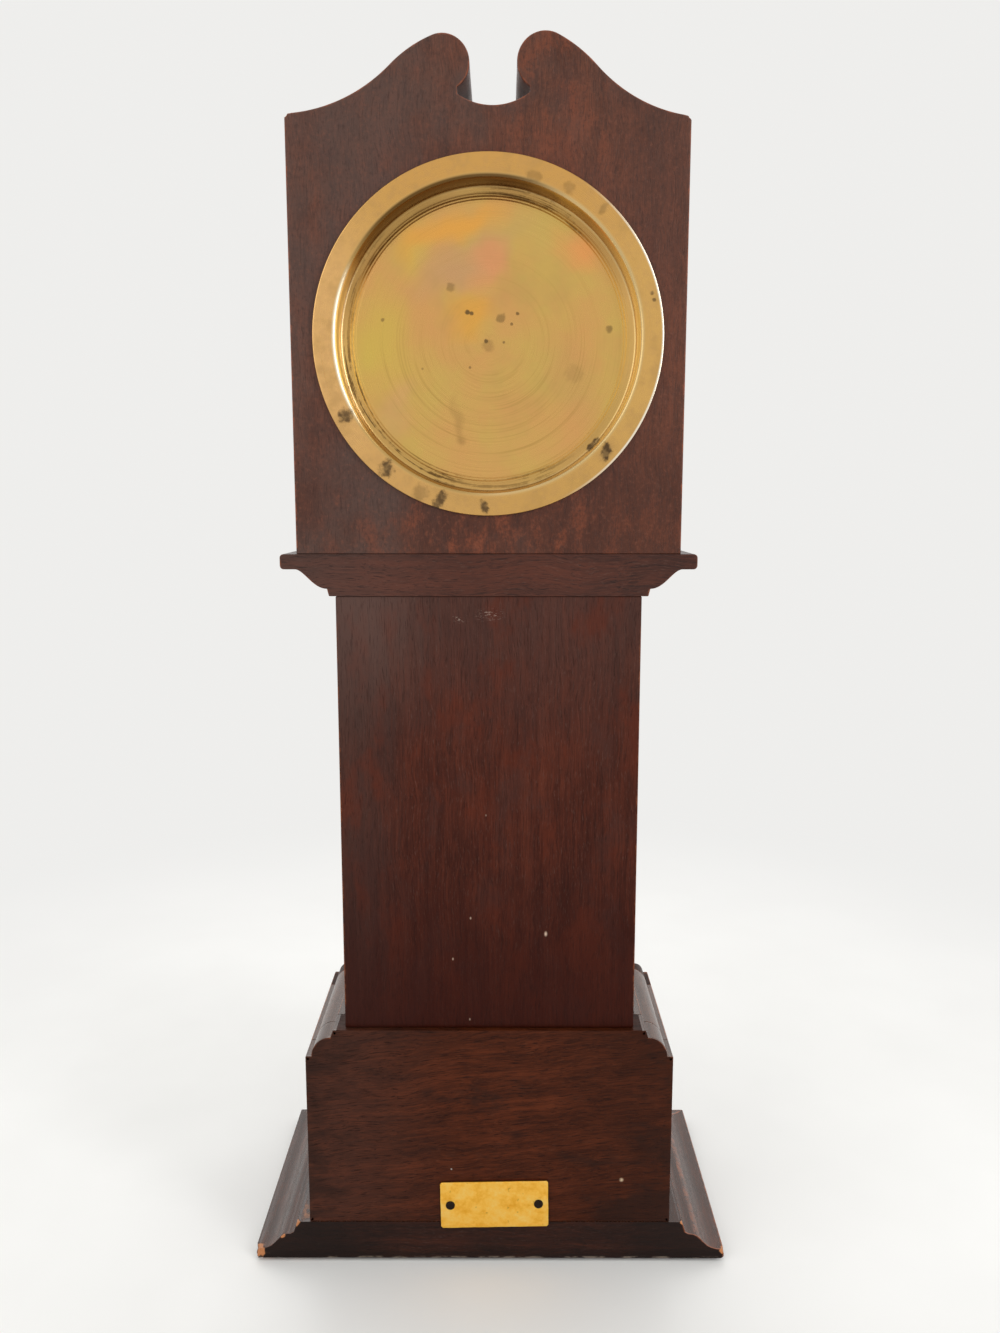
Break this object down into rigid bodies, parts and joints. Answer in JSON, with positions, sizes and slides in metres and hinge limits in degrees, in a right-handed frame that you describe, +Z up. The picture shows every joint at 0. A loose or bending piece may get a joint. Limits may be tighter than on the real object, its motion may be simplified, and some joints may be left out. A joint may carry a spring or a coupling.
{
  "type": "miniature longcase clock",
  "caption": "Table-top longcase clock in moulded mahogany with a swan-neck hood, hinged dial bezel, push-fit brass rear cover and a spring-driven lever movement.",
  "frame": {"origin": "centre of the bounding box at table level, under the plinth", "axes": "+Z up; +Y towards the back of the clock, where the rear cover is; the dial faces -Y; +X to the right as seen from the dial side"},
  "size_m": [0.1636, 0.0892, 0.4006],
  "materials": {
    "mahogany": "satin",
    "red_mahogany": "satin",
    "dark_mahogany": "satin",
    "brass": "aged",
    "bright_brass": "polished",
    "steel": "brushed",
    "blued_steel": "blued",
    "dark_pin": "oxidised",
    "foot": "dull",
    "enamel": "satin",
    "glass": "clear"
  },
  "bodies": {
    "case": {"plinth_board": "dark_mahogany", "foot_front_left": "foot", "foot_front_right": "foot", "foot_back_left": "foot", "foot_back_right": "foot", "base_front_board": "red_mahogany", "base_back_board": "red_mahogany", "base_left_side": "red_mahogany", "base_right_side": "red_mahogany", "base_top_board": "red_mahogany", "trunk_back_board": "mahogany", "trunk_front_board": "mahogany", "trunk_left_side": "mahogany", "trunk_right_side": "mahogany", "cornice_board": "dark_mahogany", "hood_block": "mahogany", "name_plate": "bright_brass", "plate_pin_left": "dark_pin", "plate_pin_right": "dark_pin", "bezel_seat": "brass", "seat_screw_top": "steel", "seat_screw_bottom": "steel", "hinge_pin": "steel", "dial": "enamel", "front_plate": "brass", "back_plate": "brass", "pillar_one": "brass", "pillar_two": "brass", "pillar_three": "brass", "pillar_four": "brass", "pillar_screw_one": "steel", "pillar_screw_two": "steel", "pillar_screw_three": "steel", "pillar_screw_four": "steel", "click_screw": "steel", "balance_cock": "brass", "cock_screw": "steel", "hairspring": "blued_steel"},
    "rear_cover": {"rear_cover": "brass"},
    "bezel": {"bezel": "brass", "glass": "glass"},
    "minute_hand": {"minute_hand": "blued_steel", "hand_nut": "brass", "cannon_pinion": "steel"},
    "minute_wheel": {"minute_wheel": "brass"},
    "hour_hand": {"hour_hand": "blued_steel", "hour_wheel": "brass"},
    "barrel": {"barrel": "brass", "barrel_cover": "brass", "mainspring": "steel"},
    "winding_arbor": {"barrel_arbor": "steel", "ratchet_wheel": "steel"},
    "click": {"click": "steel"},
    "centre_wheel": {"centre_wheel": "brass"},
    "third_wheel": {"third_wheel": "brass"},
    "fourth_wheel": {"fourth_wheel": "brass"},
    "escape_wheel": {"escape_wheel": "brass"},
    "pallet_lever": {"pallet_lever": "steel"},
    "balance": {"balance_wheel": "brass"}
  },
  "joints": [
    {"name": "rear_cover_pull", "type": "slide", "parent": "case", "child": "rear_cover", "axis": [0, 1, 0], "range_m": [0, 0.03]},
    {"name": "bezel_hinge", "type": "hinge", "parent": "case", "child": "bezel", "pos_m": [0.0542, -0.0242, 0.3124], "axis": [0, 0, 1], "range_deg": [0, 110]},
    {"name": "minute_hand_turn", "type": "hinge", "parent": "case", "child": "minute_hand", "pos_m": [0, -0.01112, 0.3124], "axis": [0, 1, 0], "continuous": true},
    {"name": "minute_wheel_turn", "type": "hinge", "parent": "case", "child": "minute_wheel", "pos_m": [0.012, -0.01112, 0.3124], "axis": [0, 1, 0], "continuous": true},
    {"name": "hour_hand_turn", "type": "hinge", "parent": "case", "child": "hour_hand", "pos_m": [0, -0.01112, 0.3124], "axis": [0, 1, 0], "continuous": true},
    {"name": "third_wheel_turn", "type": "hinge", "parent": "case", "child": "third_wheel", "pos_m": [0.0099, -0.01112, 0.32955], "axis": [0, 1, 0], "continuous": true},
    {"name": "centre_wheel_turn", "type": "hinge", "parent": "case", "child": "centre_wheel", "pos_m": [0, -0.01112, 0.3124], "axis": [0, 1, 0], "continuous": true},
    {"name": "barrel_turn", "type": "hinge", "parent": "case", "child": "barrel", "pos_m": [0, -0.01112, 0.2914], "axis": [0, 1, 0], "continuous": true},
    {"name": "fourth_wheel_turn", "type": "hinge", "parent": "case", "child": "fourth_wheel", "pos_m": [-0.00652, -0.01112, 0.33395], "axis": [0, 1, 0], "continuous": true},
    {"name": "escape_wheel_turn", "type": "hinge", "parent": "case", "child": "escape_wheel", "pos_m": [-0.01979, -0.01112, 0.32466], "axis": [0, 1, 0], "continuous": true},
    {"name": "winding_arbor_turn", "type": "hinge", "parent": "case", "child": "winding_arbor", "pos_m": [0, -0.01112, 0.2914], "axis": [0, 1, 0], "continuous": true},
    {"name": "click_lift", "type": "hinge", "parent": "case", "child": "click", "pos_m": [0.00997, 0.011, 0.29605], "axis": [0, 1, 0], "range_deg": [0, 15], "stiffness_Nm_per_rad": 0.0002, "springref_deg": -11.46},
    {"name": "pallet_lever_swing", "type": "hinge", "parent": "case", "child": "pallet_lever", "pos_m": [-0.02669, -0.01112, 0.31887], "axis": [0, 1, 0], "range_deg": [-4, 4]},
    {"name": "balance_swing", "type": "hinge", "parent": "case", "child": "balance", "pos_m": [-0.02704, -0.01112, 0.30868], "axis": [0, 1, 0], "range_deg": [-135, 135], "stiffness_Nm_per_rad": 0.00003, "deforming": ["hairspring"]}
  ],
  "couplings": [
    {"joint": "minute_wheel_turn", "follows": "minute_hand_turn", "ratio": -0.33333},
    {"joint": "hour_hand_turn", "follows": "minute_hand_turn", "ratio": 0.083333},
    {"joint": "centre_wheel_turn", "follows": "third_wheel_turn", "ratio": -0.125},
    {"joint": "barrel_turn", "follows": "third_wheel_turn", "ratio": 0.020833},
    {"joint": "fourth_wheel_turn", "follows": "third_wheel_turn", "ratio": -7.5},
    {"joint": "escape_wheel_turn", "follows": "third_wheel_turn", "ratio": 60}
  ]
}
